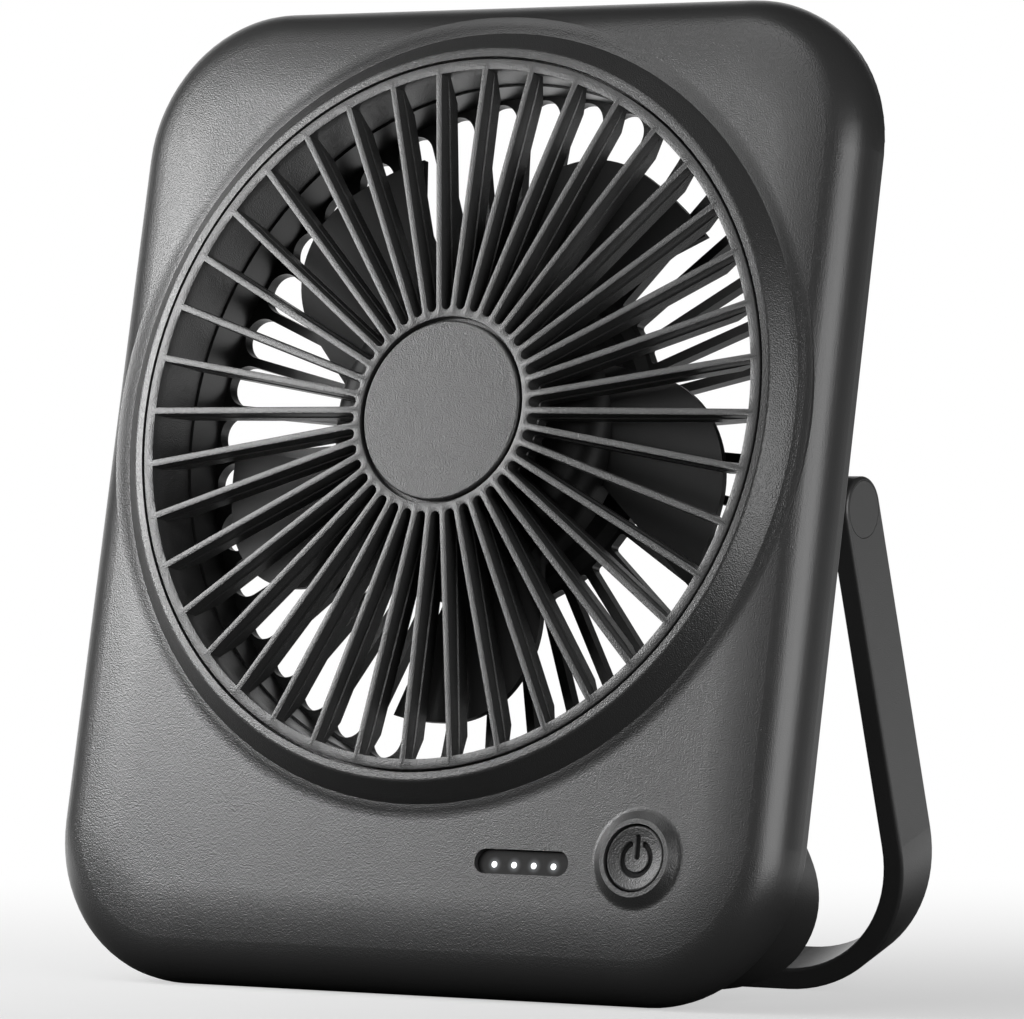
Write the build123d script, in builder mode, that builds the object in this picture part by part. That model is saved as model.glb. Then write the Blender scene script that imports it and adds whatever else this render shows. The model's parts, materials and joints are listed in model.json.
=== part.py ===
"""Slim rechargeable desk fan: tray and tub housing, radial grilles, five-blade impeller and folding stand."""
import os
from math import acos, asin, atan2, cos, degrees, hypot, pi, radians, sin, tan

from build123d import *

os.makedirs("parts", exist_ok=True)

# Whole body, in millimetres and degrees. Depths are counted back from the rim plane of the grille
rim_inner_radius = 65.1
side_margin = 6.8
top_margin = 6.4
chin = 32.8
corner_radius = 28.0
tilt = 12.5
wall = 2.0
overrun = 1.0

# Front tray
rim_height = 3.5
edge_radius = 7.0
front_depth = 12.6
tray_edge_radius = 0.5
flange_thickness = 2.0
tongue_clearance = 0.2
tongue_width = 1.0
tongue_height = 1.5

# Rear tub
rear_inset = 5.6
rear_recess = 0.5
rear_edge_radius = 5.0
rear_inner_radius = 3.0

# Raised rim and air duct
rim_flat = 1.5
rim_slope = 3.6
rim_crest_radius = 0.8
rim_foot_radius = 3.0
duct_step = 1.9
duct_wall = 2.0
duct_seam = 0.3
rear_duct_step = 0.4
mouth_flare = 0.6

# Front grille
grille_gap = 0.5
grille_ring_width = 1.9
grille_ring_depth = 3.1
fin_count = 40
fin_width = 1.2
fin_foot_width = 1.6
fin_shoulder = 2.2
fin_depth = 4.9
fin_end_setback = 1.2
hub_rise = 1.2
hub_lip = 1.4
hub_plate = 2.0
slot_end_share = 0.9
disc_radius = 16.3
disc_groove = 0.7
disc_thickness = 1.5
disc_edge_radius = 0.4

# Rear grille
rear_grille_thickness = 2.4
rear_rib_width = 1.7
rear_slot_inset = 0.6
rear_slot_outer_share = 0.9
rear_slot_inner_share = 0.44
rear_grille_clearance = 0.2
motor_base_rise = 1.1
motor_base_flare = 2.0
motor_plate_step = 0.4
motor_plate_inset = 1.3
motor_plate_margin = 0.8

# Impeller
impeller_gap = 1.7
plate_gap = 5.8
blade_count = 5
blade_start_angle = 132.0
blade_tip_gap = 9.2
blade_lead = 16.0
blade_trail_root = 5.0
blade_trail_tip = 20.0
blade_thickness = 1.4
blade_camber = 1.1
blade_front_setback = 1.2
blade_overhang = 1.2
blade_flatten_shares = (1.0, 0.9, 0.8)
blade_lead_round = 18.0
blade_trail_round = 5.0
blade_root_share = 0.72
hub_cup_height = 8.2
hub_cup_wall = 5.1
hub_cup_plate = 1.6
hub_cup_round = 4.5

# Motor
can_radius = 24.2
can_wall = 1.2
can_reach = 2.4
magnet_thickness = 2.2
magnet_overhang = 0.4
air_gap = 0.5
pole_count = 9
stator_gap = 2.2
core_wall = 3.5
pole_width = 4.2
pole_shoe_depth = 1.6
pole_shoe_gap = 1.5
coil_build = 1.3
coil_clearance = 0.1
coil_board_gap = 0.6
motor_board_radius = 19.0
motor_board_thickness = 1.0
shaft_radius = 1.47
shaft_clearance = 0.03
bearing_radius = 3.0
bearing_width = 2.5
tube_wall = 1.0
tube_gap = 0.5
tube_floor = 0.7
tube_rear_wall = 1.0
clip_radius = 2.5
clip_thickness = 0.4
clip_clearance = 0.1
shaft_end_gap = 0.15
shaft_lead = 0.8

# Push button and lamps
button_side = 28.4
button_rise = 24.7
button_hole_radius = 6.05
button_clearance = 0.25
button_lip = 0.9
button_dish = 0.7
button_edge_radius = 0.5
button_flange_overlap = 0.95
button_flange_thickness = 0.8
button_flange_gap = 0.1
crown_slope = 1.85
crown_height = 1.3
crown_width = 0.85
crown_crest_round = 0.5
crown_foot_round = 1.5
switch_size = 5.2
switch_height = 1.1
switch_gap = 0.7
plunger_radius = 1.0
plunger_clearance = 0.1
plunger_bite = 0.4
lamp_spacing = 23.6
lamp_below = 1.4
lamp_slot_length = 19.4
lamp_slot_width = 4.4
lamp_count = 4
lamp_pitch = 4.07
lamp_radius = 0.55
lamp_stand_out = 0.1
lamp_offset = -0.4
window_recess = 1.1
window_clearance = 0.1
window_thickness = 1.8

# Boards and their fixings
board_length = 55.0
board_width = 13.0
board_thickness = 1.2
board_reach = 15.9
board_below = 1.2
board_screw_inset = 2.7
board_screw_edge = 2.2
board_boss_radius = 2.2
board_screw_radius = 0.8
board_screw_head_radius = 1.5
board_screw_head = 0.8
board_screw_length = 3.2
charge_side = 29.0
charge_rise = 38.5
charge_lift = 0.6
charge_length = 15.0
charge_width = 11.0
charge_post_radius = 1.5
charge_screw_radius = 0.7
charge_screw_head_radius = 1.3
charge_screw_head = 0.7
charge_screw_length = 4.0
charge_screw_inset = 1.7
usb_width = 8.94
usb_height = 3.26
usb_shell = 0.3
usb_clearance = 0.2
usb_tongue_width = 6.7
usb_tongue_thickness = 0.7
usb_tongue_length = 5.0
usb_back = 1.0
usb_recess = 0.2

# Battery and the heel of the tub over it
cell_radius = 9.2
cell_overhang = 2.0
cell_gap = 2.0
cell_board_gap = 0.3
cell_floor_gap = 0.2
cell_edge_radius = 0.8
heel_rise = 7.4
heel_depth = 4.5
heel_slack = 0.29335
heel_toe_radius = 6.0
cradle_shares = (0.26, 0.78)
cradle_thickness = 1.6
tab_radius = 4.0
tab_thickness = 0.3

# Housing screws
post_side = 17.0
post_top_margin = 18.6
post_low_side = 15.5
post_low_rise = 47.0
post_radius = 3.4
post_meet_gap = 0.4
screw_radius = 1.2
screw_clearance = 0.3
screw_head_radius = 2.3
screw_head = 1.6
screw_post_height = 4.9
screw_bite = 5.0

# Stand and its pivots
arm_width = 11.6
arm_thickness = 4.0
stand_inset = 1.0
stand_edge = 0.6
fold_clearance = 0.44
bush_radius = 3.0
bush_clearance = 0.04
pivot_boss_radius = 5.2
pivot_boss_length = 7.0
washer_gap = 0.05
cap_overlap = 0.8
cap_clearance = 0.1
cap_thickness = 0.8
pivot_head_radius = 4.2
pivot_head = 0.9
pivot_head_gap = 0.15
pivot_screw_radius = 1.5
pivot_screw_bite = 5.0

# Body, from the raised rim and the margins round it
rim_outer_radius = rim_inner_radius + rim_flat + rim_slope
body_width = 2 * (rim_outer_radius + side_margin)
body_top = rim_outer_radius + top_margin
body_bottom = -rim_outer_radius - chin
body_height = body_top - body_bottom
body_mid = (body_top + body_bottom) / 2
duct_radius = rim_inner_radius - duct_step
rear_duct_radius = duct_radius - rear_duct_step
rear_slot_radius = rear_duct_radius - rear_slot_inset
rear_width = body_width - 2 * rear_inset
rear_height = body_height - 2 * rear_inset
rear_corner = corner_radius - rear_inset
rear_bottom = body_bottom + rear_inset
tongue_inset = rear_inset + tongue_width
opening_inset = tongue_inset - tongue_clearance
flange_front = front_depth - flange_thickness
tray_floor = rim_height + wall

# Stack of depths from the front grille through the impeller to the back
hub_radius = disc_radius + disc_groove + hub_lip
hub_cup_radius = can_radius + hub_cup_wall
hub_cup_front = fin_depth + impeller_gap
hub_cup_rear = hub_cup_front + hub_cup_height
can_front = hub_cup_front + hub_cup_plate
can_back = can_front + can_wall
can_rear = hub_cup_rear + can_reach
rear_grille_depth = hub_cup_rear + plate_gap
rear_grille_back = rear_grille_depth + rear_grille_thickness
back_depth = rear_grille_back + rear_recess
motor_seat_depth = rear_grille_depth - motor_base_rise
motor_plate_back = rear_grille_back + motor_plate_step
motor_base_foot = hub_cup_radius + motor_base_flare
motor_plate_radius = motor_base_foot + motor_plate_margin
motor_plate_step_radius = hub_cup_radius - motor_plate_inset
seat_radius = rear_slot_radius + duct_wall + rear_grille_clearance
mouth_radius = seat_radius + mouth_flare
grille_outer_radius = rim_inner_radius - grille_gap
grille_inner_radius = grille_outer_radius - grille_ring_width

# Motor and blades
can_inner = can_radius - can_wall
magnet_inner = can_inner - magnet_thickness
stator_radius = magnet_inner - air_gap
stator_front = can_back + stator_gap
stator_height = (motor_seat_depth - motor_board_thickness - coil_board_gap - coil_build - coil_clearance
                 - stator_front)
stator_mid = stator_front + stator_height / 2
magnet_height = stator_height + 2 * magnet_overhang
tube_radius = bearing_radius + tube_wall
tube_front = can_back + tube_gap
tube_back = motor_plate_back - tube_rear_wall
tube_bore_end = tube_back - tube_floor
stator_core_radius = tube_radius + core_wall
shaft_end = tube_bore_end - shaft_end_gap
clip_back = shaft_end - clip_clearance
rear_bearing_back = clip_back - clip_thickness - clip_clearance
blade_tip_radius = duct_radius - blade_tip_gap
blade_front_depth = hub_cup_front + blade_front_setback
blade_rear_depth = hub_cup_rear + blade_overhang
blade_half_chord = blade_trail_tip + overrun
blade_mid_depth = (blade_front_depth + blade_rear_depth) / 2
blade_reaches = (hub_cup_radius * blade_root_share, (hub_cup_radius + blade_tip_radius) / 2,
                 blade_tip_radius + overrun)

# Button, lamps and boards, set from the lower right corner
button_x = body_width / 2 - button_side
button_drop = -body_bottom - button_rise
button_radius = button_hole_radius - button_clearance
button_flange_radius = button_hole_radius + button_flange_overlap
crown_crest_radius = button_hole_radius + crown_width
crown_radius = crown_crest_radius + crown_slope
flange_back = tray_floor + button_flange_gap + button_flange_thickness
board_depth = flange_back + switch_gap + switch_height
board_back = board_depth + board_thickness
plunger_length = switch_gap + plunger_bite
lamp_x = button_x - lamp_spacing
lamp_drop = button_drop + lamp_below
board_x = button_x + board_reach - board_length / 2
board_drop = button_drop + board_below
board_screw_x = board_length / 2 - board_screw_inset
board_screw_drop = board_drop - board_width / 2 + board_screw_edge
board_points = [(board_x - board_screw_x, -board_screw_drop), (board_x + board_screw_x, -board_screw_drop)]
charge_x = body_width / 2 - charge_side
charge_drop = -body_bottom - charge_rise
charge_depth = front_depth + charge_lift
charge_back = charge_depth + board_thickness
charge_screw_x = charge_length / 2 - charge_screw_inset
charge_screw_y = charge_width / 2 - charge_screw_inset
charge_points = [(charge_x + charge_screw_x, charge_screw_y - charge_drop),
                 (charge_x - charge_screw_x, -charge_screw_y - charge_drop)]

# Battery, heel and screw posts
cell_length = rear_width / 2 - rear_corner + cell_overhang - cell_gap / 2
cell_rise = rear_inset + wall + cell_floor_gap + cell_radius
cell_drop = -body_bottom - cell_rise
cell_depth = board_back + cell_board_gap + cell_radius
heel_drop = -body_bottom - heel_rise
heel_radius = hypot(cell_rise - heel_rise, cell_depth - heel_depth) + cell_radius + heel_slack + wall
cradle_places = [cell_gap / 2 + share * cell_length for share in cradle_shares]
post_meet = front_depth + post_meet_gap
screw_seat_depth = front_depth + screw_post_height
post_x = body_width / 2 - post_side
post_top = body_top - post_top_margin
post_low_x = body_width / 2 - post_low_side
post_low = -body_bottom - post_low_rise
post_points = [(post_x, post_top), (-post_x, post_top), (post_low_x, -post_low), (-post_low_x, -post_low)]

# Stand and pivots
lean = radians(tilt)
up = Vector(0, sin(lean), cos(lean))
out = Vector(0, -cos(lean), sin(lean))
pivot_depth = front_depth + fold_clearance + arm_width / 2
stand_reach = body_height / 2 - stand_inset
arm_inner = body_width / 2 - arm_thickness
cap_radius = pivot_head_radius + cap_overlap
cap_recess = washer_gap + pivot_head + pivot_head_gap + cap_thickness
cap_floor = body_width / 2 - cap_recess
washer_thickness = arm_inner - rear_width / 2 - washer_gap
grille_height = ((-body_bottom - tray_edge_radius) * cos(lean)
                 + (front_depth - tray_edge_radius) * sin(lean) + tray_edge_radius)
pivot_height = grille_height + body_mid * cos(lean) - pivot_depth * sin(lean)

# The stand opens until its foot stands level with the tray's lower edge
reach_core = stand_reach - stand_edge
half_core = arm_width / 2 - stand_edge
stand_lean = acos((pivot_height - stand_edge) / hypot(reach_core, half_core)) + atan2(half_core, reach_core)
arm_up = Vector(0, -sin(stand_lean), cos(stand_lean))
arm_out = Vector(0, -cos(stand_lean), -sin(stand_lean))

# The origin lies on the ground, halfway from the tray's toe to the stand's heel
toe_y = sin(lean) * (body_bottom + edge_radius) + cos(lean) * (rim_height + edge_radius) - edge_radius
pivot_y = sin(lean) * body_mid + cos(lean) * pivot_depth
heel_y = pivot_y + reach_core * sin(stand_lean) + half_core * cos(stand_lean) + stand_edge
grille_centre = Vector(0, -(toe_y + heel_y) / 2, grille_height)
pivot = grille_centre + up * body_mid - out * pivot_depth

# Working planes: face looks out of the front, side looks along +X, section holds the fan's axis
face = Plane(origin=grille_centre, x_dir=(1, 0, 0), z_dir=out)
side = Plane(origin=grille_centre, x_dir=up, z_dir=(1, 0, 0))
section = Plane(origin=grille_centre, x_dir=(1, 0, 0), z_dir=-up)
fan_axis = Axis(grille_centre, out)
stand_face = Plane(origin=pivot, x_dir=(1, 0, 0), z_dir=arm_out)
stand_side = Plane(origin=pivot, x_dir=arm_up, z_dir=(1, 0, 0))
pivot_side = Plane(origin=pivot, x_dir=up, z_dir=(1, 0, 0))
button_centre = grille_centre + Vector(button_x, 0, 0) - up * button_drop
button_section = Plane(origin=button_centre, x_dir=(1, 0, 0), z_dir=-up)
button_axis = Axis(button_centre, out)


# Fan-shaped gap between two radial bars of even width, its middle on the X axis
def bar_slot(count, bar_width, inner, outer, inner_share, outer_share):
    half_turn = pi / count
    inner_angle = half_turn - asin(bar_width / 2 / inner)
    outer_angle = half_turn - asin(bar_width / 2 / outer)
    inner_low = (inner * cos(inner_angle), -inner * sin(inner_angle))
    inner_high = (inner * cos(inner_angle), inner * sin(inner_angle))
    outer_low = (outer * cos(outer_angle), -outer * sin(outer_angle))
    outer_high = (outer * cos(outer_angle), outer * sin(outer_angle))
    with BuildSketch() as slot:
        with BuildLine():
            Line(inner_low, outer_low)
            ThreePointArc(outer_low, (outer, 0), outer_high)
            Line(outer_high, inner_high)
            ThreePointArc(inner_high, (inner, 0), inner_low)
        make_face()
        fillet(slot.vertices().sort_by(Axis.X)[:2], radius=inner_share * inner * sin(inner_angle))
        if outer_share:
            fillet(slot.vertices().sort_by(Axis.X)[-2:], radius=outer_share * outer * sin(outer_angle))
    return slot.sketch


# Hollow of the front tray, kept behind the face wall and before the rear flange
with BuildPart() as tray_hollow:
    with BuildSketch(face.offset(-flange_front)):
        with Locations((0, body_mid)):
            RectangleRounded(body_width - 2 * wall, body_height - 2 * wall, corner_radius - wall)
    extrude(amount=flange_front - tray_floor)
    fillet(tray_hollow.faces().sort_by(fan_axis)[-1].edges(), radius=edge_radius - wall)

# Front tray with raised rim, duct, button crown, lamp slot and screw posts
with BuildPart() as front_housing:
    with BuildSketch(face.offset(-front_depth)):
        with Locations((0, body_mid)):
            RectangleRounded(body_width, body_height, corner_radius)
    extrude(amount=front_depth - rim_height)
    fillet(front_housing.faces().sort_by(fan_axis)[-1].edges(), radius=edge_radius)
    fillet(front_housing.faces().sort_by(fan_axis)[0].edges(), radius=tray_edge_radius)
    add(tray_hollow.part, mode=Mode.SUBTRACT)
    with BuildSketch(face.offset(-front_depth)):
        with Locations((0, body_mid)):
            RectangleRounded(body_width - 2 * opening_inset, body_height - 2 * opening_inset,
                             corner_radius - opening_inset)
    extrude(amount=flange_thickness, mode=Mode.SUBTRACT)
    with BuildSketch(face.offset(-tray_floor)):
        with Locations(*post_points):
            Circle(post_radius)
    extrude(amount=tray_floor - post_meet)
    with BuildSketch(face.offset(-tray_floor)):
        with Locations(*board_points):
            Circle(board_boss_radius)
    extrude(amount=tray_floor - board_depth)
    with BuildSketch(face.offset(-tray_floor)):
        Circle(duct_radius + duct_wall)
    extrude(amount=tray_floor, mode=Mode.SUBTRACT)
    with BuildSketch(section) as rim:
        with BuildLine():
            Polyline((duct_radius, duct_seam - front_depth), (duct_radius, -grille_ring_depth),
                     (rim_inner_radius, -grille_ring_depth), (rim_inner_radius, 0),
                     (rim_inner_radius + rim_flat, 0), (rim_outer_radius, -rim_height),
                     (rim_outer_radius + rim_foot_radius, -rim_height),
                     (rim_outer_radius + rim_foot_radius, -tray_floor),
                     (duct_radius + duct_wall, -tray_floor),
                     (duct_radius + duct_wall, duct_seam - front_depth), close=True)
        make_face()
        crest = rim.vertices().sort_by_distance((rim_inner_radius + rim_flat, 0))[0]
        foot = rim.vertices().sort_by_distance((rim_outer_radius, -rim_height))[0]
        inner_crest = rim.vertices().sort_by_distance((rim_inner_radius, 0))[0]
        fillet(crest, radius=rim_crest_radius)
        fillet(foot, radius=rim_foot_radius)
        fillet(inner_crest, radius=rim_crest_radius / 2)
    revolve(axis=fan_axis)
    with BuildSketch(button_section) as crown:
        with BuildLine():
            Polyline((0, -tray_floor), (crown_radius + crown_foot_round, -tray_floor),
                     (crown_radius + crown_foot_round, -rim_height), (crown_radius, -rim_height),
                     (crown_crest_radius, crown_height - rim_height), (0, crown_height - rim_height), close=True)
        make_face()
        crown_foot = crown.vertices().sort_by_distance((crown_radius, -rim_height))[0]
        crown_crest = crown.vertices().sort_by_distance((crown_crest_radius, crown_height - rim_height))[0]
        fillet(crown_foot, radius=crown_foot_round)
        fillet(crown_crest, radius=crown_crest_round)
    revolve(axis=button_axis)
    with BuildSketch(face.offset(crown_height)):
        with Locations((button_x, -button_drop)):
            Circle(button_hole_radius)
    extrude(amount=-(crown_height + tray_floor + overrun), mode=Mode.SUBTRACT)
    with BuildSketch(face.offset(-rim_height)):
        with Locations((lamp_x, -lamp_drop)):
            SlotOverall(lamp_slot_length, lamp_slot_width)
    extrude(amount=-(wall + overrun), mode=Mode.SUBTRACT)
    with BuildSketch(face.offset(-post_meet)):
        with Locations(*post_points):
            Circle(screw_radius)
    extrude(amount=screw_bite, mode=Mode.SUBTRACT)
    with BuildSketch(face.offset(-board_depth)):
        with Locations(*board_points):
            Circle(board_screw_radius)
    extrude(amount=board_screw_length - board_thickness, mode=Mode.SUBTRACT)
front_housing.part.label = "front_housing"
export_step(front_housing.part, "parts/front_housing.step")

# Front grille: domed ring, fins and hub turned as one disc, then slotted in two widths
front_slot = bar_slot(fin_count, fin_width, hub_radius, grille_inner_radius, slot_end_share, 0)
foot_slot = bar_slot(fin_count, fin_foot_width, hub_radius, grille_inner_radius, slot_end_share, 0)
with BuildPart() as front_grille:
    with BuildSketch(section):
        with BuildLine():
            Polyline((0, hub_rise - disc_thickness), (disc_radius + disc_groove, hub_rise - disc_thickness),
                     (disc_radius + disc_groove, hub_rise), (hub_radius, hub_rise), (grille_inner_radius, 0),
                     (grille_outer_radius, 0), (grille_outer_radius, -grille_ring_depth),
                     (grille_inner_radius, -grille_ring_depth),
                     (grille_inner_radius - fin_end_setback, -fin_depth), (hub_radius, -fin_depth),
                     (disc_radius, hub_rise - disc_thickness - hub_plate),
                     (0, hub_rise - disc_thickness - hub_plate), close=True)
        make_face()
    revolve(axis=fan_axis)
    with BuildSketch(face.offset(-fin_shoulder)):
        with PolarLocations(0, fin_count, start_angle=degrees(pi / fin_count)):
            add(front_slot)
    extrude(amount=fin_shoulder + hub_rise + overrun, mode=Mode.SUBTRACT)
    with BuildSketch(face.offset(-fin_shoulder)):
        with PolarLocations(0, fin_count, start_angle=degrees(pi / fin_count)):
            add(foot_slot)
    extrude(amount=fin_shoulder - fin_depth - overrun, mode=Mode.SUBTRACT)
front_grille.part.label = "front_grille"
export_step(front_grille.part, "parts/front_grille.step")

# Bare disc in the hub's recess
with BuildPart() as hub_disc:
    with BuildSketch(face.offset(hub_rise - disc_thickness)):
        Circle(disc_radius)
    extrude(amount=disc_thickness)
    fillet(hub_disc.faces().sort_by(fan_axis)[-1].edges(), radius=disc_edge_radius)
hub_disc.part.label = "hub_disc"
export_step(hub_disc.part, "parts/hub_disc.step")

# Hollow of the rear tub
with BuildPart() as tub_hollow:
    with BuildSketch(face.offset(wall - back_depth)):
        with Locations((0, body_mid)):
            RectangleRounded(rear_width - 2 * wall, rear_height - 2 * wall, rear_corner - wall)
    extrude(amount=back_depth - wall - front_depth + tongue_height + overrun)
    fillet(tub_hollow.faces().sort_by(fan_axis)[0].edges(), radius=rear_inner_radius)


# Lower end of the tub's outline, cut to a round back
def heel(inset):
    with BuildPart() as block:
        with BuildSketch(side) as profile:
            with Locations((-heel_drop, -heel_depth)):
                Circle(heel_radius - inset)
            with Locations((rear_bottom + inset + heel_radius, -front_depth - heel_radius)):
                Rectangle(2 * heel_radius, 2 * heel_radius, mode=Mode.INTERSECT)
            fillet(profile.vertices().sort_by(Axis.Y)[0], radius=heel_toe_radius - inset)
        extrude(amount=body_width / 2, both=True)
        with BuildSketch(face.offset(-heel_depth - heel_radius)):
            with Locations((0, body_mid)):
                RectangleRounded(rear_width - 2 * inset, rear_height - 2 * inset, rear_corner - inset)
        extrude(amount=heel_depth + heel_radius, mode=Mode.INTERSECT)
    return block.part


# Ribs that cradle the battery cells
with BuildPart() as cradle:
    for place in cradle_places:
        with BuildSketch(side.offset(place), side.offset(-place)):
            with Locations((-cell_drop, -cell_depth - heel_radius)):
                Rectangle(2 * heel_radius, 2 * heel_radius)
        extrude(amount=cradle_thickness / 2, both=True)
    add(heel(0), mode=Mode.INTERSECT)
    with BuildSketch(side):
        with Locations((-cell_drop, -cell_depth)):
            Circle(cell_radius)
    extrude(amount=body_width / 2, both=True, mode=Mode.SUBTRACT)

# Rear tub with battery bulge, duct, pivot bosses, screw posts and charging socket
with BuildPart() as rear_housing:
    with BuildSketch(face.offset(-back_depth)):
        with Locations((0, body_mid)):
            RectangleRounded(rear_width, rear_height, rear_corner)
    extrude(amount=back_depth - front_depth)
    fillet(rear_housing.faces().sort_by(fan_axis)[0].edges(), radius=rear_edge_radius)
    with BuildSketch(face.offset(-front_depth)):
        with Locations((0, body_mid)):
            RectangleRounded(body_width - 2 * tongue_inset, body_height - 2 * tongue_inset,
                             corner_radius - tongue_inset)
    extrude(amount=tongue_height)
    add(heel(0))
    add(tub_hollow.part, mode=Mode.SUBTRACT)
    add(heel(wall), mode=Mode.SUBTRACT)
    add(cradle.part)
    for hand in (1, -1):
        with BuildSketch(pivot_side.offset(hand * rear_width / 2)):
            Circle(pivot_boss_radius)
        extrude(amount=-hand * pivot_boss_length)
    with BuildSketch(face.offset(-post_meet)):
        with Locations(*post_points):
            Circle(post_radius)
    extrude(amount=post_meet - back_depth + wall)
    with BuildSketch(face.offset(-charge_back)):
        with Locations(*charge_points):
            Circle(charge_post_radius)
    extrude(amount=charge_back - back_depth + wall)
    with BuildSketch(section):
        with BuildLine():
            Polyline((0, -front_depth), (rear_duct_radius + duct_wall, -front_depth),
                     (rear_duct_radius + duct_wall, duct_wall - rear_grille_depth),
                     (seat_radius + duct_wall, -rear_grille_depth), (mouth_radius + duct_wall, -back_depth),
                     (0, -back_depth), close=True)
        make_face()
    revolve(axis=fan_axis)
    with BuildSketch(section):
        with BuildLine():
            Polyline((0, overrun - front_depth), (rear_duct_radius, overrun - front_depth),
                     (rear_duct_radius, -rear_grille_depth), (seat_radius, -rear_grille_depth),
                     (seat_radius, -rear_grille_back), (mouth_radius, -back_depth),
                     (mouth_radius, -back_depth - overrun), (0, -back_depth - overrun), close=True)
        make_face()
    revolve(axis=fan_axis, mode=Mode.SUBTRACT)
    with BuildSketch(face.offset(-back_depth)):
        with Locations(*post_points):
            Circle(screw_head_radius + screw_clearance)
    extrude(amount=back_depth - screw_seat_depth, mode=Mode.SUBTRACT)
    with BuildSketch(face.offset(-screw_seat_depth)):
        with Locations(*post_points):
            Circle(screw_radius + screw_clearance)
    extrude(amount=screw_seat_depth - post_meet, mode=Mode.SUBTRACT)
    with BuildSketch(face.offset(-back_depth)):
        with Locations((charge_x, -charge_drop)):
            SlotOverall(usb_width + 2 * usb_clearance, usb_height + 2 * usb_clearance)
    extrude(amount=wall + overrun, both=True, mode=Mode.SUBTRACT)
    with BuildSketch(face.offset(-charge_back)):
        with Locations(*charge_points):
            Circle(charge_screw_radius)
    extrude(amount=board_thickness - charge_screw_length, mode=Mode.SUBTRACT)
    for hand in (1, -1):
        with BuildSketch(pivot_side.offset(hand * rear_width / 2)):
            Circle(pivot_screw_radius)
        extrude(amount=-hand * pivot_screw_bite, mode=Mode.SUBTRACT)
rear_housing.part.label = "rear_housing"
export_step(rear_housing.part, "parts/rear_housing.step")

# Rear grille: slotted disc whose middle is the motor plate
rear_slot = bar_slot(fin_count, rear_rib_width, motor_plate_radius, rear_slot_radius,
                     rear_slot_inner_share, rear_slot_outer_share)
with BuildPart() as rear_grille:
    with BuildSketch(section):
        with BuildLine():
            Polyline((tube_radius, -motor_seat_depth), (hub_cup_radius, -motor_seat_depth),
                     (motor_base_foot, -rear_grille_depth),
                     (seat_radius - rear_grille_clearance, -rear_grille_depth),
                     (seat_radius - rear_grille_clearance, -rear_grille_back),
                     (motor_plate_step_radius + motor_plate_step, -rear_grille_back),
                     (motor_plate_step_radius, -motor_plate_back), (0, -motor_plate_back), (0, -tube_back),
                     (tube_radius, -tube_back), close=True)
        make_face()
    revolve(axis=fan_axis)
    with BuildSketch(face.offset(-rear_grille_depth)):
        with PolarLocations(0, fin_count):
            add(rear_slot)
    extrude(amount=-rear_grille_thickness, mode=Mode.SUBTRACT)
rear_grille.part.label = "rear_grille"
export_step(rear_grille.part, "parts/rear_grille.step")

# One blade along +X: a cambered plate, flatter at the tip, trimmed to a paddle with round corners
with BuildPart() as blade:
    for reach, flatten_share in zip(blade_reaches, blade_flatten_shares):
        station = Plane(origin=grille_centre + Vector(reach, 0, 0), x_dir=up, z_dir=(1, 0, 0))
        half_rise = (blade_rear_depth - blade_front_depth) / 2 * flatten_share
        with BuildSketch(station):
            with BuildLine():
                top = ThreePointArc((-blade_half_chord, -blade_mid_depth - half_rise), (0, blade_camber - blade_mid_depth),
                                    (blade_half_chord, half_rise - blade_mid_depth))
                bottom = ThreePointArc((-blade_half_chord, -blade_mid_depth - half_rise - blade_thickness),
                                       (0, blade_camber - blade_mid_depth - blade_thickness),
                                       (blade_half_chord, half_rise - blade_mid_depth - blade_thickness))
                Line(top @ 0, bottom @ 0)
                Line(top @ 1, bottom @ 1)
            make_face()
    loft()
    with BuildSketch(face.offset(-back_depth)) as paddle:
        Circle(blade_tip_radius)
        with BuildLine():
            Polyline((0, blade_lead), (blade_tip_radius, blade_lead), (blade_tip_radius, -blade_trail_tip),
                     (hub_cup_radius, -blade_trail_root), (0, -blade_trail_root), close=True)
        make_face(mode=Mode.INTERSECT)
        lead_corner = paddle.vertices().sort_by_distance((blade_tip_radius, blade_lead))[0]
        trail_corner = paddle.vertices().sort_by_distance((blade_tip_radius, -blade_trail_tip))[0]
        fillet(lead_corner, radius=blade_lead_round)
        fillet(trail_corner, radius=blade_trail_round)
    extrude(amount=back_depth, mode=Mode.INTERSECT)

# Impeller: round-nosed hub cup over the motor, with its blades
with BuildPart() as impeller:
    with BuildSketch(section) as cup:
        with BuildLine():
            Polyline((0, -hub_cup_front), (hub_cup_radius, -hub_cup_front), (hub_cup_radius, -hub_cup_rear),
                     (0, -hub_cup_rear), close=True)
        make_face()
        fillet(cup.vertices().sort_by_distance((hub_cup_radius, -hub_cup_front))[0], radius=hub_cup_round)
    revolve(axis=fan_axis)
    for turn in range(blade_count):
        add(blade.part.rotate(fan_axis, blade_start_angle + turn * 360 / blade_count))
    with BuildSketch(face.offset(-can_front)):
        Circle(can_radius)
    extrude(amount=can_front - back_depth, mode=Mode.SUBTRACT)
    with BuildSketch(face.offset(-can_front)):
        Circle(shaft_radius)
    extrude(amount=shaft_lead, mode=Mode.SUBTRACT)
impeller.part.label = "impeller"
export_step(impeller.part, "parts/impeller.step")

# Steel rotor can pressed into the hub cup
with BuildPart() as rotor_can:
    with BuildSketch(section):
        with BuildLine():
            Polyline((shaft_radius, -can_front), (can_radius, -can_front), (can_radius, -can_rear),
                     (can_inner, -can_rear), (can_inner, -can_front - can_wall),
                     (shaft_radius, -can_front - can_wall), close=True)
        make_face()
    revolve(axis=fan_axis)
rotor_can.part.label = "rotor_can"
export_step(rotor_can.part, "parts/rotor_can.step")

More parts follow.
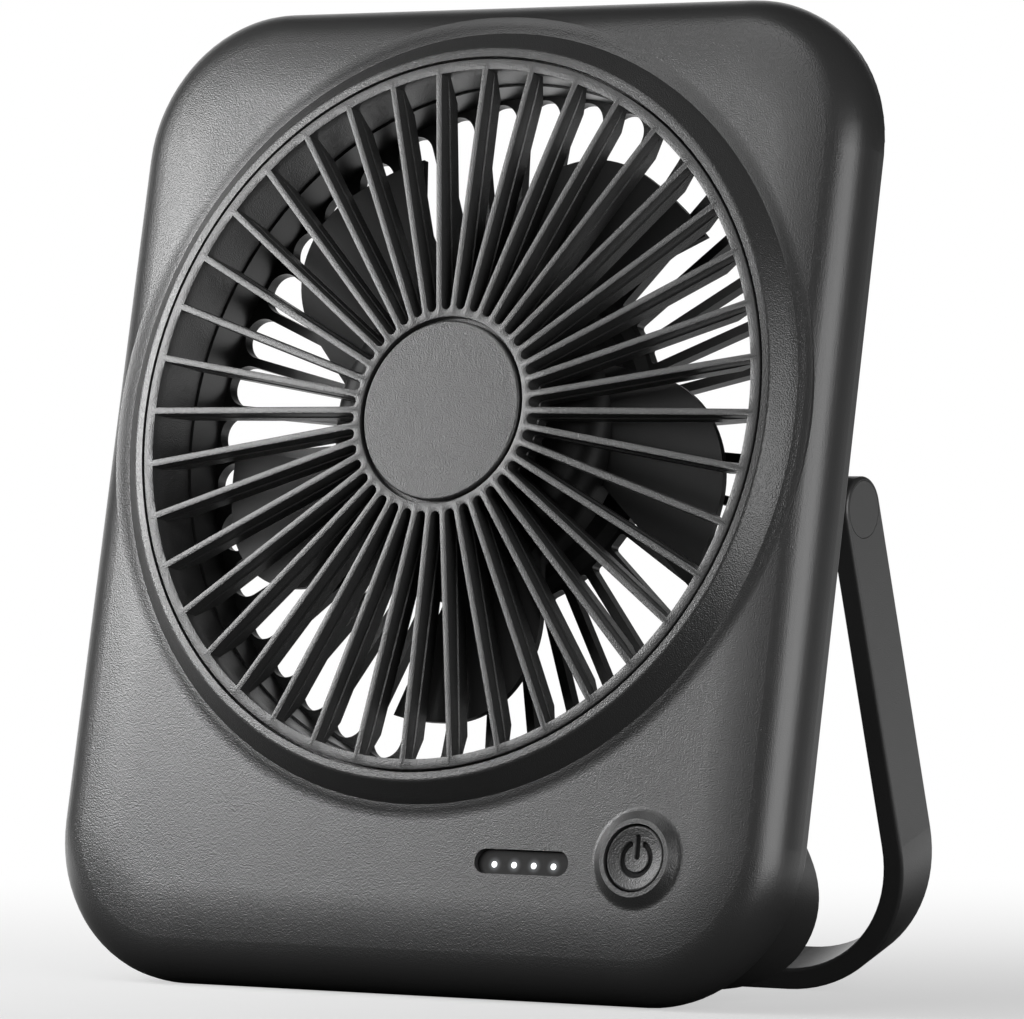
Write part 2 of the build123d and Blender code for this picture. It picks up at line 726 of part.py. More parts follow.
# Magnet ring inside the can
with BuildPart() as magnet_ring:
    with BuildSketch(face.offset(-stator_mid)):
        Circle(can_inner)
        Circle(magnet_inner, mode=Mode.SUBTRACT)
    extrude(amount=magnet_height / 2, both=True)
magnet_ring.part.label = "magnet_ring"
export_step(magnet_ring.part, "parts/magnet_ring.step")

# Shaft, from the hub cup to the foot of the bearing tube
with BuildPart() as motor_shaft:
    with BuildSketch(face.offset(-shaft_end)):
        Circle(shaft_radius)
    extrude(amount=shaft_end - can_front + shaft_lead)
motor_shaft.part.label = "motor_shaft"
export_step(motor_shaft.part, "parts/motor_shaft.step")

# Clip that keeps the shaft in its bearings
with BuildPart() as shaft_clip:
    with BuildSketch(face.offset(-clip_back)):
        Circle(clip_radius)
        Circle(shaft_radius, mode=Mode.SUBTRACT)
    extrude(amount=clip_thickness)
shaft_clip.part.label = "shaft_clip"
export_step(shaft_clip.part, "parts/shaft_clip.step")

# Brass tube that holds the bearings and carries the stator
with BuildPart() as bearing_tube:
    with BuildSketch(face.offset(-tube_back)):
        Circle(tube_radius)
    extrude(amount=tube_back - tube_front)
    with BuildSketch(face.offset(-tube_bore_end)):
        Circle(bearing_radius)
    extrude(amount=tube_bore_end - tube_front, mode=Mode.SUBTRACT)
bearing_tube.part.label = "bearing_tube"
export_step(bearing_tube.part, "parts/bearing_tube.step")

# Two bearings in the tube
with BuildPart() as bearings:
    for bearing_back in (rear_bearing_back, tube_front + bearing_width):
        with BuildSketch(face.offset(-bearing_back)):
            Circle(bearing_radius)
            Circle(shaft_radius + shaft_clearance, mode=Mode.SUBTRACT)
        extrude(amount=bearing_width)
bearings.part.label = "bearings"
export_step(bearings.part, "parts/bearings.step")

# Laminated stator with its poles and pole shoes
with BuildPart() as stator_core:
    with BuildSketch(face.offset(-stator_mid)):
        Circle(stator_radius)
        Circle(stator_radius - pole_shoe_depth, mode=Mode.SUBTRACT)
        with PolarLocations(stator_radius, pole_count, start_angle=degrees(pi / pole_count)):
            Rectangle(4 * pole_shoe_depth, pole_shoe_gap, mode=Mode.SUBTRACT)
        with PolarLocations((stator_radius - pole_shoe_depth / 2) / 2, pole_count):
            Rectangle(stator_radius - pole_shoe_depth / 2, pole_width)
        Circle(stator_core_radius)
        Circle(tube_radius, mode=Mode.SUBTRACT)
    extrude(amount=stator_height / 2, both=True)
stator_core.part.label = "stator_core"
export_step(stator_core.part, "parts/stator_core.step")

# Windings, one round each pole
coil_width = pole_width + 2 * (coil_clearance + coil_build)
coil_start = (coil_width / 2 + coil_clearance) / tan(pi / pole_count)
coil_end = ((stator_radius - pole_shoe_depth) ** 2 - (coil_width / 2) ** 2) ** 0.5 - coil_clearance
with BuildPart() as stator_coils:
    with BuildSketch(face.offset(-stator_mid)):
        with PolarLocations((coil_start + coil_end) / 2, pole_count):
            Rectangle(coil_end - coil_start, coil_width)
    extrude(amount=stator_height / 2 + coil_clearance + coil_build, both=True)
    with BuildSketch(face.offset(-stator_mid)):
        with PolarLocations((coil_start + coil_end) / 2, pole_count):
            Rectangle(coil_end - coil_start, pole_width + 2 * coil_clearance)
    extrude(amount=stator_height / 2 + coil_clearance, both=True, mode=Mode.SUBTRACT)
stator_coils.part.label = "stator_coils"
export_step(stator_coils.part, "parts/stator_coils.step")

# Round motor board on the motor plate
with BuildPart() as motor_board:
    with BuildSketch(face.offset(-motor_seat_depth)):
        Circle(motor_board_radius)
        Circle(tube_radius, mode=Mode.SUBTRACT)
    extrude(amount=motor_board_thickness)
motor_board.part.label = "motor_board"
export_step(motor_board.part, "parts/motor_board.step")

# Dished button cap with a flange behind the face
dish_radius = (button_radius ** 2 + button_dish ** 2) / (2 * button_dish)
dish_mid_rise = dish_radius - (dish_radius ** 2 - button_radius ** 2 / 4) ** 0.5
button_rim = button_lip - rim_height
with BuildPart() as power_button:
    with BuildSketch(button_section):
        with BuildLine():
            Polyline((0, button_rim - button_dish), (0, -flange_back), (button_flange_radius, -flange_back),
                     (button_flange_radius, button_flange_thickness - flange_back),
                     (button_radius, button_flange_thickness - flange_back), (button_radius, button_rim))
            ThreePointArc((button_radius, button_rim), (button_radius / 2, button_rim - button_dish + dish_mid_rise),
                          (0, button_rim - button_dish))
        make_face()
    revolve(axis=button_axis)
    fillet(power_button.edges().sort_by(button_axis)[-1], radius=button_edge_radius)
power_button.part.label = "power_button"
export_step(power_button.part, "parts/power_button.step")

# Plunger of the switch, pushed by the button
with BuildPart() as switch_plunger:
    with BuildSketch(face.offset(-flange_back)):
        with Locations((button_x, -button_drop)):
            Circle(plunger_radius)
    extrude(amount=-plunger_length)
switch_plunger.part.label = "switch_plunger"
export_step(switch_plunger.part, "parts/switch_plunger.step")

# Switch body on the control board
with BuildPart() as button_switch:
    with BuildSketch(face.offset(-board_depth)):
        with Locations((button_x, -button_drop)):
            Rectangle(switch_size, switch_size)
            Circle(plunger_radius + plunger_clearance, mode=Mode.SUBTRACT)
    extrude(amount=switch_height)
button_switch.part.label = "button_switch"
export_step(button_switch.part, "parts/button_switch.step")

# Control board behind the button and the lamps
with BuildPart() as control_board:
    with BuildSketch(face.offset(-board_back)):
        with Locations((board_x, -board_drop)):
            Rectangle(board_length, board_width)
        with Locations(*board_points):
            Circle(board_screw_radius, mode=Mode.SUBTRACT)
    extrude(amount=board_thickness)
control_board.part.label = "control_board"
export_step(control_board.part, "parts/control_board.step")

# Screws of the control board
with BuildPart() as board_screws:
    with BuildSketch(face.offset(-board_back)):
        with Locations(*board_points):
            Circle(board_screw_head_radius)
    extrude(amount=-board_screw_head)
    with BuildSketch(face.offset(-board_back)):
        with Locations(*board_points):
            Circle(board_screw_radius)
    extrude(amount=board_screw_length)
board_screws.part.label = "board_screws"
export_step(board_screws.part, "parts/board_screws.step")

# Lamps that stand on the control board and show in the slot
lamp_points = [(lamp_x + (step - (lamp_count - 1) / 2) * lamp_pitch, lamp_offset - lamp_drop)
               for step in range(lamp_count)]
lamp_front = rim_height + window_recess - lamp_stand_out
with BuildPart() as led_lamps:
    with BuildSketch(face.offset(-board_depth)):
        with Locations(*lamp_points):
            Circle(lamp_radius)
    extrude(amount=board_depth - lamp_front)
led_lamps.part.label = "led_lamps"
export_step(led_lamps.part, "parts/led_lamps.step")

# Dark window strip round the lamps
with BuildPart() as led_window:
    with BuildSketch(face.offset(-rim_height - window_recess)):
        with Locations((lamp_x, -lamp_drop)):
            SlotOverall(lamp_slot_length - 2 * window_clearance, lamp_slot_width - 2 * window_clearance)
        with Locations(*lamp_points):
            Circle(lamp_radius, mode=Mode.SUBTRACT)
    extrude(amount=-window_thickness)
led_window.part.label = "led_window"
export_step(led_window.part, "parts/led_window.step")

# Charging board in the corner beside the battery
with BuildPart() as charge_board:
    with BuildSketch(face.offset(-charge_back)):
        with Locations((charge_x, -charge_drop)):
            Rectangle(charge_length, charge_width)
        with Locations(*charge_points):
            Circle(charge_screw_radius, mode=Mode.SUBTRACT)
    extrude(amount=board_thickness)
charge_board.part.label = "charge_board"
export_step(charge_board.part, "parts/charge_board.step")

# Screws of the charging board
with BuildPart() as charge_screws:
    with BuildSketch(face.offset(-charge_depth)):
        with Locations(*charge_points):
            Circle(charge_screw_head_radius)
    extrude(amount=charge_screw_head)
    with BuildSketch(face.offset(-charge_depth)):
        with Locations(*charge_points):
            Circle(charge_screw_radius)
    extrude(amount=-charge_screw_length)
charge_screws.part.label = "charge_screws"
export_step(charge_screws.part, "parts/charge_screws.step")

# Upright charging socket: metal shell, floor and contact tongue
usb_front = back_depth - usb_recess
with BuildPart() as usb_port:
    with BuildSketch(face.offset(-charge_back)):
        with Locations((charge_x, -charge_drop)):
            SlotOverall(usb_width, usb_height)
    extrude(amount=charge_back - usb_front)
    with BuildSketch(face.offset(-charge_back - usb_back)):
        with Locations((charge_x, -charge_drop)):
            SlotOverall(usb_width - 2 * usb_shell, usb_height - 2 * usb_shell)
    extrude(amount=charge_back + usb_back - usb_front, mode=Mode.SUBTRACT)
    with BuildSketch(face.offset(-charge_back - usb_back)):
        with Locations((charge_x, -charge_drop)):
            Rectangle(usb_tongue_width, usb_tongue_thickness)
    extrude(amount=-usb_tongue_length)
usb_port.part.label = "usb_port"
export_step(usb_port.part, "parts/usb_port.step")

# Two round battery cells end to end in the trough
with BuildPart() as battery_cells:
    for hand in (1, -1):
        with BuildSketch(side.offset(hand * cell_gap / 2)):
            with Locations((-cell_drop, -cell_depth)):
                Circle(cell_radius)
        extrude(amount=hand * cell_length)
    fillet(battery_cells.edges().filter_by(GeomType.CIRCLE), radius=cell_edge_radius)
battery_cells.part.label = "battery_cells"
export_step(battery_cells.part, "parts/battery_cells.step")

# Contact tabs between and outside the cells
with BuildPart() as cell_tabs:
    with BuildSketch(side):
        with Locations((-cell_drop, -cell_depth)):
            Circle(tab_radius)
    extrude(amount=cell_gap / 2, both=True)
    for hand in (1, -1):
        with BuildSketch(side.offset(hand * (cell_gap / 2 + cell_length))):
            with Locations((-cell_drop, -cell_depth)):
                Circle(tab_radius)
        extrude(amount=hand * tab_thickness)
cell_tabs.part.label = "cell_tabs"
export_step(cell_tabs.part, "parts/cell_tabs.step")

# Screws that pull the tub onto the tray
with BuildPart() as housing_screws:
    with BuildSketch(face.offset(-screw_seat_depth)):
        with Locations(*post_points):
            Circle(screw_head_radius)
    extrude(amount=-screw_head)
    with BuildSketch(face.offset(-screw_seat_depth)):
        with Locations(*post_points):
            Circle(screw_radius)
    extrude(amount=screw_seat_depth - post_meet + screw_bite - screw_clearance)
housing_screws.part.label = "housing_screws"
export_step(housing_screws.part, "parts/housing_screws.step")

# Stand: U bracket with round upper ends, bored for its pivots
with BuildPart() as stand:
    with BuildSketch(stand_face) as bow:
        with Locations((0, (arm_width / 2 - stand_reach) / 2)):
            Rectangle(body_width, stand_reach + arm_width / 2)
        fillet(bow.vertices().sort_by(Axis.Y)[:2], radius=corner_radius)
    extrude(amount=arm_width / 2, both=True)
    with BuildSketch(stand_face) as gap:
        with Locations((0, (arm_width - stand_reach + arm_thickness) / 2)):
            Rectangle(2 * arm_inner, stand_reach - arm_thickness + arm_width)
        fillet(gap.vertices().sort_by(Axis.Y)[:2], radius=corner_radius - arm_thickness)
    extrude(amount=arm_width / 2, both=True, mode=Mode.SUBTRACT)
    with BuildSketch(stand_side):
        Circle(arm_width / 2)
        with Locations((-stand_reach / 2, 0)):
            Rectangle(stand_reach, arm_width)
    extrude(amount=body_width / 2, both=True, mode=Mode.INTERSECT)
    fillet(stand.edges(), radius=stand_edge)
    for hand in (1, -1):
        with BuildSketch(stand_side.offset(hand * body_width / 2)):
            Circle(cap_radius + cap_clearance)
        extrude(amount=-hand * cap_recess, mode=Mode.SUBTRACT)
        with BuildSketch(stand_side.offset(hand * body_width / 2)):
            Circle(bush_radius + bush_clearance)
        extrude(amount=-hand * (arm_thickness + overrun), mode=Mode.SUBTRACT)
stand.part.label = "stand"
export_step(stand.part, "parts/stand.step")

# Round caps over the pivots
with BuildPart() as pivot_caps:
    for hand in (1, -1):
        with BuildSketch(stand_side.offset(hand * body_width / 2)):
            Circle(cap_radius)
        extrude(amount=-hand * cap_thickness)
pivot_caps.part.label = "pivot_caps"
export_step(pivot_caps.part, "parts/pivot_caps.step")

# Bushes that the arms turn on
with BuildPart() as pivot_bushes:
    for hand in (1, -1):
        with BuildSketch(pivot_side.offset(hand * rear_width / 2)):
            Circle(bush_radius)
            Circle(pivot_screw_radius, mode=Mode.SUBTRACT)
        extrude(amount=hand * (cap_floor + washer_gap - rear_width / 2))
pivot_bushes.part.label = "pivot_bushes"
export_step(pivot_bushes.part, "parts/pivot_bushes.step")

# Screws that hold the bushes on the tub
with BuildPart() as pivot_screws:
    for hand in (1, -1):
        with BuildSketch(pivot_side.offset(hand * (cap_floor + washer_gap))):
            Circle(pivot_head_radius)
        extrude(amount=hand * pivot_head)
        with BuildSketch(pivot_side.offset(hand * (cap_floor + washer_gap))):
            Circle(pivot_screw_radius)
        extrude(amount=hand * (rear_width / 2 - pivot_screw_bite + screw_clearance - cap_floor - washer_gap))
pivot_screws.part.label = "pivot_screws"
export_step(pivot_screws.part, "parts/pivot_screws.step")

# Washers that give the stand its friction
with BuildPart() as friction_washers:
    for hand in (1, -1):
        with BuildSketch(pivot_side.offset(hand * rear_width / 2)):
            Circle(pivot_boss_radius)
            Circle(bush_radius, mode=Mode.SUBTRACT)
        extrude(amount=hand * washer_thickness)
friction_washers.part.label = "friction_washers"
export_step(friction_washers.part, "parts/friction_washers.step")
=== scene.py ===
import json
from math import asin, atan2, cos, degrees, hypot, pi, radians, sin, sqrt

import bmesh
import bpy
from mathutils import Matrix, Vector


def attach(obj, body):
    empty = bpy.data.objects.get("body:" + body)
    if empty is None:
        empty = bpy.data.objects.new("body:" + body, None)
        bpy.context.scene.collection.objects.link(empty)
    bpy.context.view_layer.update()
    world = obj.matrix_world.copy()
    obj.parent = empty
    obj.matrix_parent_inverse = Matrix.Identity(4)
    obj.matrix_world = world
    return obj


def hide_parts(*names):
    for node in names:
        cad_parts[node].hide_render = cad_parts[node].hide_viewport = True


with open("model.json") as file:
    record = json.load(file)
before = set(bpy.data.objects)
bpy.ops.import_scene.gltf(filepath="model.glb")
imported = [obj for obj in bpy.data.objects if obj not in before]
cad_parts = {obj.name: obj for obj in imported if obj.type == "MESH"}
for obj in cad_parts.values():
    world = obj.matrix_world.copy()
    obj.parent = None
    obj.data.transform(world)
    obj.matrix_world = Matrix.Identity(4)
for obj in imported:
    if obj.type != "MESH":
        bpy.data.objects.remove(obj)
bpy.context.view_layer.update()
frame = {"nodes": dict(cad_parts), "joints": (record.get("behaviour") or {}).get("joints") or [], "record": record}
nodes = frame["nodes"]
joints = {joint["name"]: joint for joint in frame["joints"]}
mm = 0.001

# the fan's own axes at rest: across the face, up the face and out of the front
fanCentre = Vector(joints["fan_spin"]["pos_m"])
outward = Vector(joints["fan_spin"]["axis"])
across = Vector((1, 0, 0))
upward = outward.cross(across)
faceTurn = Matrix((across, upward, outward)).transposed().to_4x4()
facePlace = Matrix.Translation(fanCentre) @ faceTurn  # from the face's axes to the model's frame, in metres
print("frame loaded,", len(nodes), "nodes")


def facePoints(name):  # the vertices of a CAD node on the face's axes
    turned = facePlace.inverted()
    return [turned @ vertex.co for vertex in nodes[name].data.vertices]


def span(values):  # the lowest and the highest
    held = list(values)
    return min(held), max(held)


class Wire:  # one socket of a node tree; an expression on it adds its Math nodes
    def __init__(self, tree, socket=None):
        self.tree = tree
        self.socket = socket

    def node(self, kind, settings=None, inputs=None, output=0):
        made = self.tree.nodes.new(kind)
        for name, value in (settings or {}).items():
            setattr(made, name, value)
        for name, value in (inputs or {}).items():
            if isinstance(value, Wire):
                self.tree.links.new(value.socket, made.inputs[name])
            else:
                made.inputs[name].default_value = value
        return Wire(self.tree, made.outputs[output])

    def math(self, operation, first, second=0.0):
        return self.node("ShaderNodeMath", {"operation": operation}, {0: first, 1: second})

    def __add__(self, other):
        return self.math("ADD", self, other)

    def __sub__(self, other):
        return self.math("SUBTRACT", self, other)

    def __rsub__(self, other):
        return self.math("SUBTRACT", other, self)

    def __mul__(self, other):
        return self.math("MULTIPLY", self, other)

    def __truediv__(self, other):
        return self.math("DIVIDE", self, other)

    def __pow__(self, other):
        return self.math("POWER", self, other)

    __radd__ = __add__
    __rmul__ = __mul__

    def atLeast(self, other):
        return self.math("MAXIMUM", self, other)

    def atMost(self, other):
        return self.math("MINIMUM", self, other)

    def fade(self, low, high):  # 0 below low, 1 above high, smooth between
        return self.node("ShaderNodeMapRange", {"interpolation_type": "SMOOTHSTEP"},
                         {"Value": self, "From Min": low, "From Max": high})

    def vector(self, operation, second=(0, 0, 0), output=0):
        other = second if isinstance(second, Wire) else tuple(second)
        return self.node("ShaderNodeVectorMath", {"operation": operation}, {0: self, 1: other}, output)

    def dot(self, axis):
        return self.vector("DOT_PRODUCT", axis, "Value")

    def away(self, spot=(0, 0, 0)):  # distance from a spot
        return self.vector("SUBTRACT", spot).vector("LENGTH", output="Value")

    def tone(self, first, second):  # colour first where the wire is 0, second where it is 1
        return self.node("ShaderNodeMix", {"data_type": "RGBA"}, {0: self, 6: first, 7: second}, 2)

    def noise(self, size, detail=2.0):
        return self.node("ShaderNodeTexNoise", None, {"Vector": self, "Scale": 1 / size, "Detail": detail})

    def bump(self, distance, strength=1.0, **more):  # a normal from this height
        return self.node("ShaderNodeBump", None,
                         {"Strength": strength, "Distance": distance, "Height": self, **more})

    def shaders(self, first, second):  # shader first where the wire is 0, second where it is 1
        return self.node("ShaderNodeMixShader", None, {0: self, 1: first, 2: second})

    def given(self, label):  # an input of a geometry tree
        return self.node("NodeGroupInput", output=label)


def grey(level, warm=0.0):
    return (level * (1 + warm), level, level * (1 - warm), 1)


def newFinish(name, **sockets):  # a material with its constants set on the shader's own sockets
    material = bpy.data.materials.new(name)
    material.use_nodes = True
    shader = material.node_tree.nodes["Principled BSDF"]
    for socket, value in sockets.items():
        shader.inputs[socket.replace("_", " ")].default_value = value
    place = Wire(material.node_tree).node("ShaderNodeTexCoord", output="Object")
    return material, place, shader


def feed(shader, **sockets):
    for socket, wire in sockets.items():
        wire.tree.links.new(wire.socket, shader.inputs[socket.replace("_", " ")])


# face of the front tray: two greys, grain, a painted highlight (a paler grey) on the crest of the raised ring, and
# bump at the edge and the ring's foot
shellLook = {"dark": grey(0.022), "pale": grey(0.030), "cloudSize": 38 * mm, "roughness": 0.31,
             "cloudRough": 0.05, "grainRough": 0.06, "crestRough": 0.05,
             "grainSize": 0.22 * mm, "grainDepth": 0.068 * mm, "edgeGrain": 0.3, "grainBand": (3 * mm, 7 * mm),
             "crestPaintedHighlight": grey(0.036), "crestShare": 0.5, "crestInner": (64.9 * mm, 65.3 * mm),
             "crestOuter": (66.4 * mm, 66.9 * mm), "crestHeight": (-1.2 * mm, -0.3 * mm),
             "corner": 28 * mm, "rollFrom": 17 * mm, "edgeRound": 7 * mm, "rollShape": (12.0, 20.0),
             "cove": (69 * mm, 71.4 * mm, 73.2 * mm), "coveShape": (85.0, 150.0)}


def fanPolar(place):  # distance from the fan's axis, and height along it
    offset = place.vector("SUBTRACT", fanCentre)
    height = offset.dot(outward)
    along = place.node("ShaderNodeVectorMath", {"operation": "SCALE"}, {0: tuple(outward), "Scale": height})
    return offset.away(along), height


def trayInset(place):  # how far a point lies inside the tray's outline, seen from the front
    points = facePoints("front_housing")
    offset = place.vector("SUBTRACT", fanCentre)
    past = []
    for axis, values in ((across, [point.x for point in points]), (upward, [point.y for point in points])):
        low, high = span(values)
        along = offset.dot(axis) - (high + low) / 2
        past.append(place.math("ABSOLUTE", along) - ((high - low) / 2 - shellLook["corner"]))
    first, second = past
    outside = (first.atLeast(0.0) ** 2.0 + second.atLeast(0.0) ** 2.0) ** 0.5
    inside = first.atLeast(second).atMost(0.0)
    return shellLook["corner"] - outside - inside


def shellFinish():  # charcoal plastic with spark-eroded grain, a little smoother on the crest of the raised ring, where a paler grey is a painted highlight
    look = shellLook
    material, place, shader = newFinish("charcoalShell")
    radius, height = fanPolar(place)
    # painted highlight: the crest of the raised ring gets a paler grey, as well as a lower roughness
    crest = radius.fade(*look["crestInner"]) * (1 - radius.fade(*look["crestOuter"]))
    polishAndPaintedHighlight = crest * height.fade(*look["crestHeight"])
    grain = place.noise(look["grainSize"], 0.0)
    cloud = place.noise(look["cloudSize"])
    tone = (cloud * 0.5 + grain * 0.5).tone(look["dark"], look["pale"])
    inset = trayInset(place)
    fall, ease = look["rollShape"]  # the face bends a little before its rounded edge, so that the edge looks wider
    drop = (look["rollFrom"] - inset).atLeast(0.0) ** 2.0 * fall
    rise = (look["edgeRound"] - inset).atLeast(0.0) ** 2.0 * ease
    near, foot, far = look["cove"]  # and it sweeps up to the raised ring
    lift, settle = look["coveShape"]
    reach = radius.atLeast(near)
    cove = (far - reach).atLeast(0.0) ** 2.0 * lift - (foot - reach).atLeast(0.0) ** 2.0 * settle
    rolled = (rise - drop + cove).bump(1.0)
    share = inset.fade(*look["grainBand"]) * (1 - look["edgeGrain"]) + look["edgeGrain"]
    rough = look["roughness"] + cloud * look["cloudRough"] - grain * look["grainRough"]
    feed(shader, Base_Color=(polishAndPaintedHighlight * look["crestShare"]).tone(tone, look["crestPaintedHighlight"]),
         Roughness=rough - polishAndPaintedHighlight * look["crestRough"],
         Normal=(grain * share).bump(look["grainDepth"], Normal=rolled))
    return material


satinLook = {"cloudSize": 30 * mm, "cloudRough": 0.08, "grainRough": 0.04}


def satinFinish(name, low, high, roughness, grainSize, grainDepth, shine=0.5):  # a finer satin plastic
    material, place, shader = newFinish(name, Specular_IOR_Level=shine)
    fine = place.noise(grainSize, 0.0)
    cloud = place.noise(satinLook["cloudSize"])
    feed(shader, Base_Color=(cloud * 0.5 + fine * 0.5).tone(grey(low), grey(high)),
         Roughness=roughness + (cloud - 0.5) * satinLook["cloudRough"] - fine * satinLook["grainRough"],
         Normal=fine.bump(grainDepth))
    return material


glossLook = {"flowSize": 9 * mm, "hazeSize": 1.1 * mm, "spread": 0.2, "hazeRough": 0.06, "flowRough": 0.05,
             "depth": 0.05 * mm, "strength": 0.08}


def glossFinish(name, tone, roughness, shine=0.5):  # polished moulding with faint flow marks
    look = glossLook
    material, place, shader = newFinish(name, Specular_IOR_Level=shine)
    flow = place.noise(look["flowSize"], 3.0)
    haze = place.noise(look["hazeSize"])
    feed(shader, Base_Color=flow.tone(grey(tone * (1 - look["spread"])), grey(tone * (1 + look["spread"]))),
         Roughness=roughness + haze * look["hazeRough"] + flow * look["flowRough"],
         Normal=flow.bump(look["depth"], look["strength"]))
    return material


metalLook = {"stretch": (1, 14, 14), "cloudSize": 6 * mm, "brushRough": 0.12, "depth": 0.02 * mm, "strength": 0.2}


def metalFinish(name, low, high, roughness, grainSize):  # drawn or turned metal with fine brushing
    look = metalLook
    material, place, shader = newFinish(name, Metallic=1.0)
    stretched = place.node("ShaderNodeMapping", None, {"Vector": place, "Scale": look["stretch"]})
    brushed = stretched.noise(grainSize, 3.0)
    cloud = place.noise(look["cloudSize"])
    feed(shader, Base_Color=(brushed * 0.5 + cloud * 0.5).tone(low, high),
         Roughness=roughness + brushed * look["brushRough"], Normal=brushed.bump(look["depth"], look["strength"]))
    return material


boardLook = {"mask": (0.010, 0.095, 0.045, 1), "track": (0.050, 0.210, 0.090, 1), "trackScale": 420.0,
             "trackEdge": (0.02, 0.07), "trackShare": 0.7, "hazeShare": 0.2, "hazeSize": 3 * mm,
             "roughness": 0.3, "hazeRough": 0.15}


def boardFinish():  # green solder mask with faint copper tracks under it
    look = boardLook
    material, place, shader = newFinish("solderMask", Coat_Weight=0.5, Coat_Roughness=0.1)
    tracks = place.node("ShaderNodeTexVoronoi", {"feature": "DISTANCE_TO_EDGE"},
                        {"Vector": place, "Scale": look["trackScale"]})
    haze = place.noise(look["hazeSize"])
    line = 1 - tracks.fade(*look["trackEdge"])
    feed(shader, Base_Color=(line * look["trackShare"] + haze * look["hazeShare"]).tone(look["mask"], look["track"]),
         Roughness=look["roughness"] + haze * look["hazeRough"])
    return material


capLook = {"dark": grey(0.026), "pale": grey(0.036), "roughness": 0.40, "grainRough": 0.06,
           "grainSize": 0.27 * mm, "grainDepth": 0.10 * mm, "signPaintedShade": grey(0.006), "signRough": 0.6,
           "signShine": 0.08}


def buttonFinish():  # satin cap, with painted shade: dull black in the engraved sign
    look = capLook
    material, place, shader = newFinish("buttonCap")
    tree = material.node_tree
    fine = place.noise(look["grainSize"], 0.0)
    feed(shader, Base_Color=fine.tone(look["dark"], look["pale"]),
         Roughness=look["roughness"] - fine * look["grainRough"], Normal=fine.bump(look["grainDepth"]))
    # painted shade: the engraved sign gets a near-black, rough finish where its groove lies in shade
    paintedGrooveShade = place.node("ShaderNodeBsdfPrincipled", None,
                      {"Base Color": look["signPaintedShade"], "Roughness": look["signRough"],
                       "Specular IOR Level": look["signShine"]})
    sunk = place.node("ShaderNodeAttribute", {"attribute_name": "engraving"}, output="Fac")
    blend = sunk.shaders(Wire(tree, shader.outputs[0]), paintedGrooveShade)
    tree.links.new(blend.socket, tree.nodes["Material Output"].inputs["Surface"])
    return material


# charge lamps: each lit dot is 1 within the first distance and fades to 0 at the second
lampLook = {"count": 4, "glow": 4.0, "dot": (0.15 * mm, 0.95 * mm), "dotTone": (0.95, 0.98, 1, 1),
            "unlit": grey(0.015), "lens": (grey(0.20), grey(0.26)), "lensRough": 0.25, "lensHaze": 0.4 * mm,
            "halo": (0.3 * mm, 1.9 * mm), "haloTone": (0.92, 0.96, 1, 1), "haloLevel": 0.13,
            "strip": (grey(0.008), grey(0.014)), "stripRough": 0.32, "hazeRough": 0.08, "stripHaze": 0.8 * mm}


def lampSpots():  # the middles of the lit dots
    points = facePoints("led_lamps")
    left, right = span(point.x for point in points)
    bottom, top = span(point.y for point in points)
    front = max(point.z for point in points)
    radius = (top - bottom) / 2
    step = (right - left - 2 * radius) / (lampLook["count"] - 1)
    return [facePlace @ Vector((left + radius + step * index, (top + bottom) / 2, front))
            for index in range(lampLook["count"])]


def spotLight(place, bright, dark):
    lit = 0.0
    for spot in lampSpots():
        lit = (1 - place.away(spot).fade(bright, dark)) ** 2.0 + lit
    return lit


def lampFinish():
    look = lampLook
    material, place, shader = newFinish("lampLens", Emission_Strength=look["glow"], Roughness=look["lensRough"])
    feed(shader, Base_Color=place.noise(look["lensHaze"]).tone(*look["lens"]),
         Emission_Color=spotLight(place, *look["dot"]).tone(look["unlit"], look["dotTone"]))
    return material


def windowFinish():  # smoked strip with painted light: a faint emitted glow round each dot
    look = lampLook
    material, place, shader = newFinish("smokedStrip", Emission_Strength=1.0, Specular_IOR_Level=0.12)
    haze = place.noise(look["stripHaze"])
    lit = spotLight(place, *look["halo"])
    feed(shader, Base_Color=haze.tone(*look["strip"]), Roughness=look["stripRough"] + haze * look["hazeRough"],
         # painted light: the strip glows round each lit dot
         Emission_Color=(lit * look["haloLevel"]).tone(grey(0.0), look["haloTone"]))
    return material


